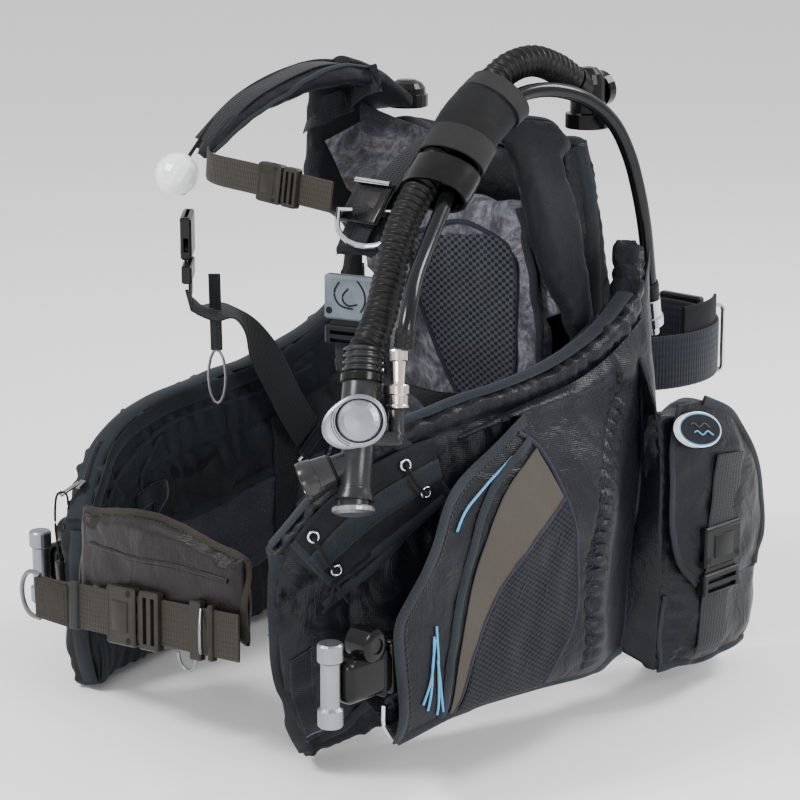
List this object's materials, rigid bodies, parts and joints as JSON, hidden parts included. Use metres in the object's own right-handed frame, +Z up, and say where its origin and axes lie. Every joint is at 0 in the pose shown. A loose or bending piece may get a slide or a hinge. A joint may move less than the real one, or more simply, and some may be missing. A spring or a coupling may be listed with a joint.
{
  "type": "buoyancy compensator vest",
  "caption": "Jacket style buoyancy vest for scuba diving with inflator, dump valves, cylinder band, harness and weight pouches.",
  "frame": {"origin": "middle of the footprint, on the surface the vest stands on", "axes": "+Z up, the wearer faces -Y and the wearer's left side is +X"},
  "size_m": [0.5146, 0.7183, 0.5547],
  "materials": {
    "shell_nylon": "coated weave",
    "lining": "mottled padded lining",
    "webbing": "ribbed webbing",
    "black_plastic": "fine texture",
    "rubber": "satin",
    "steel": "polished stainless",
    "silver": "silver lacquer",
    "white_plastic": "gloss"
  },
  "bodies": {
    "vest": {"back_pad": "lining", "backplate": "black_plastic", "belt_slide": "black_plastic", "chest_buckle_female": "black_plastic", "chest_web_left": "webbing", "chest_web_right": "webbing", "corrugated_hose": "rubber", "cummerbund": "shell_nylon", "elbow_valve": "black_plastic", "hose_clip": "black_plastic", "hose_sleeve": "shell_nylon", "inflator_body": "black_plastic", "jacket_back": "shell_nylon", "jacket_left": "shell_nylon", "jacket_right": "shell_nylon", "lower_web_left": "webbing", "lower_web_right": "webbing", "lp_coupling": "steel", "lp_fitting": "steel", "lp_hose": "rubber", "mouthpiece": "rubber", "rear_dump_valve": "black_plastic", "shoulder_dump_valve": "black_plastic", "shoulder_left": "lining", "shoulder_left_buckle_female": "black_plastic", "shoulder_right": "lining", "shoulder_right_buckle_female": "black_plastic", "tank_band": "webbing", "tank_band_ring": "steel", "tank_buckle_frame": "black_plastic", "tank_buckle_pin": "steel", "trim_left_buckle_female": "black_plastic", "trim_pocket_left": "shell_nylon", "trim_pocket_right": "shell_nylon", "trim_right_buckle_female": "black_plastic", "waist_buckle_female": "black_plastic", "waist_web_left": "webbing", "waist_web_right": "webbing", "weight_pocket_left": "shell_nylon", "weight_pocket_right": "shell_nylon"},
    "inflate_button_body": {"inflate_button": "silver"},
    "exhaust_button_body": {"exhaust_button": "silver"},
    "lp_collar_body": {"lp_collar": "steel"},
    "dump_ball_body": {"dump_ball": "white_plastic"},
    "tank_lever_body": {"tank_buckle_lever": "black_plastic"},
    "waist_buckle_male_body": {"waist_buckle_male": "black_plastic"},
    "chest_buckle_male_body": {"chest_buckle_male": "black_plastic"},
    "shoulder_right_buckle_male_body": {"shoulder_right_buckle_male": "black_plastic"},
    "shoulder_left_buckle_male_body": {"shoulder_left_buckle_male": "black_plastic"},
    "trim_left_buckle_male_body": {"trim_left_buckle_male": "black_plastic"},
    "trim_right_buckle_male_body": {"trim_right_buckle_male": "black_plastic"},
    "weight_left_body": {"weight_pouch_left": "black_plastic", "weight_tbar_left": "silver"},
    "weight_right_body": {"weight_pouch_right": "black_plastic", "weight_tbar_right": "silver"},
    "chest_ring_body": {"chest_ring": "steel"},
    "hem_ring_body": {"hem_ring": "steel"},
    "waist_ring_body": {"waist_ring": "steel"},
    "strap_ring_body": {"strap_ring": "steel"},
    "pull_ring_body": {"pull_ring": "steel"}
  },
  "joints": [
    {"name": "inflate_press", "type": "slide", "parent": "vest", "child": "inflate_button_body", "axis": [-0.6712, 0.7012, -0.2404], "range_m": [0, 0.003], "stiffness_N_per_m": 600},
    {"name": "exhaust_press", "type": "slide", "parent": "vest", "child": "exhaust_button_body", "axis": [-0.2973, 0.3102, 0.903], "range_m": [0, 0.0035], "stiffness_N_per_m": 600},
    {"name": "lp_collar_pull", "type": "slide", "parent": "vest", "child": "lp_collar_body", "axis": [-0.1502, 0.1567, 0.9762], "range_m": [0, 0.004], "stiffness_N_per_m": 400},
    {"name": "dump_pull", "type": "slide", "parent": "vest", "child": "dump_ball_body", "axis": [-0.1205, -0.6226, -0.7732], "range_m": [0, 0.012], "stiffness_N_per_m": 600},
    {"name": "tank_lever_hinge", "type": "hinge", "parent": "vest", "child": "tank_lever_body", "pos_m": [-0.0125, 0.3545, 0.2473], "axis": [0, 0, 1], "range_deg": [0, 75]},
    {"name": "waist_buckle_release", "type": "slide", "parent": "vest", "child": "waist_buckle_male_body", "axis": [0.995, -0.0099, 0.0995], "range_m": [0, 0.016]},
    {"name": "chest_buckle_release", "type": "slide", "parent": "vest", "child": "chest_buckle_male_body", "axis": [0.9983, -0.0299, -0.0499], "range_m": [0, 0.012]},
    {"name": "shoulder_right_buckle_release", "type": "slide", "parent": "vest", "child": "shoulder_right_buckle_male_body", "axis": [0, 0, -1], "range_m": [0, 0.012]},
    {"name": "shoulder_left_buckle_release", "type": "slide", "parent": "vest", "child": "shoulder_left_buckle_male_body", "axis": [0, 0, -1], "range_m": [0, 0.012]},
    {"name": "trim_left_buckle_release", "type": "slide", "parent": "vest", "child": "trim_left_buckle_male_body", "axis": [0, 0, -1], "range_m": [0, 0.016]},
    {"name": "trim_right_buckle_release", "type": "slide", "parent": "vest", "child": "trim_right_buckle_male_body", "axis": [0, 0, -1], "range_m": [0, 0.016]},
    {"name": "weight_left_pull", "type": "slide", "parent": "vest", "child": "weight_left_body", "axis": [0, -1, 0], "range_m": [0, 0.17]},
    {"name": "weight_right_pull", "type": "slide", "parent": "vest", "child": "weight_right_body", "axis": [0, -1, 0], "range_m": [0, 0.17]},
    {"name": "chest_ring_swing", "type": "hinge", "parent": "vest", "child": "chest_ring_body", "pos_m": [0.093, -0.173, 0.4353], "axis": [0.853, 0.5219, 0], "range_deg": [-60, 0]},
    {"name": "hem_ring_swing", "type": "hinge", "parent": "vest", "child": "hem_ring_body", "pos_m": [0.202, -0.254, 0.0773], "axis": [-0.3011, 0.9536, 0], "range_deg": [-50, 0]},
    {"name": "waist_ring_swing", "type": "hinge", "parent": "vest", "child": "waist_ring_body", "pos_m": [-0.162, -0.3162, 0.0901], "axis": [0.0499, 0, 0.9988], "range_deg": [-20, 60]},
    {"name": "strap_ring_swing", "type": "hinge", "parent": "vest", "child": "strap_ring_body", "pos_m": [-0.1592, 0.0055, 0.1658], "axis": [0, 0.769, 0.6392], "range_deg": [-60, 0]},
    {"name": "pull_ring_swing", "type": "hinge", "parent": "vest", "child": "pull_ring_body", "pos_m": [-0.13, -0.138, 0.2813], "axis": [0.722, 0.6919, 0], "range_deg": [-45, 5]}
  ]
}
